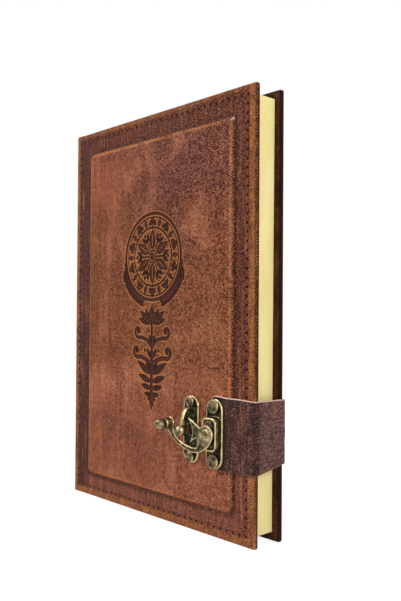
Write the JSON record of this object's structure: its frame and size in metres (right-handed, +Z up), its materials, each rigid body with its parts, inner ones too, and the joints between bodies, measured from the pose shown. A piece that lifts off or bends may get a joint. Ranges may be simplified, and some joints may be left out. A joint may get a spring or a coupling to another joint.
{
  "type": "leather journal with swing-hook clasp",
  "caption": "Hardback leather journal with a raised pressed panel, stitched edges, and a leather strap round the fore-edge held by a brass swing-hook clasp.",
  "frame": {"origin": "on the standing plane, under the middle of the object's bounding box", "axes": "+Z up the height of the covers, +X from the spine to the fore-edge, front cover faces -Y"},
  "size_m": [0.1498, 0.0371, 0.21],
  "materials": {
    "cover_leather": "pull-up leather, fine grain, satin, lighter along raised edges",
    "strap_leather": "darker matt leather with raw pale cut edges",
    "card": "grey binder's board",
    "paper": "cream paper, matt",
    "lining_cloth": "open-weave binding cloth",
    "thread": "waxed thread",
    "antique_brass": "antiqued, dark in the recesses"
  },
  "bodies": {
    "book": {"cover_leather": "cover_leather", "front_board": "card", "back_board": "card", "spine_board": "card", "front_panel": "card", "front_infill": "card", "back_infill": "card", "front_endpaper": "paper", "back_endpaper": "paper", "page_block": "paper", "spine_lining": "lining_cloth", "front_stitching": "thread", "back_stitching": "thread", "strap": "strap_leather", "strap_stitching": "thread", "catch_plate": "antique_brass", "catch_rivet_top": "antique_brass", "catch_rivet_bottom": "antique_brass", "hook_plate": "antique_brass", "hook_rivet_top": "antique_brass", "hook_rivet_bottom": "antique_brass", "pivot_rivet": "antique_brass"},
    "hook": {"swing_hook": "antique_brass", "hook_knob": "antique_brass"}
  },
  "joints": [
    {"name": "hook_swing", "type": "hinge", "parent": "book", "child": "hook", "pos_m": [0.0499, -0.00975, 0.0493], "axis": [0, -1, 0], "range_deg": [-8, 180]}
  ]
}
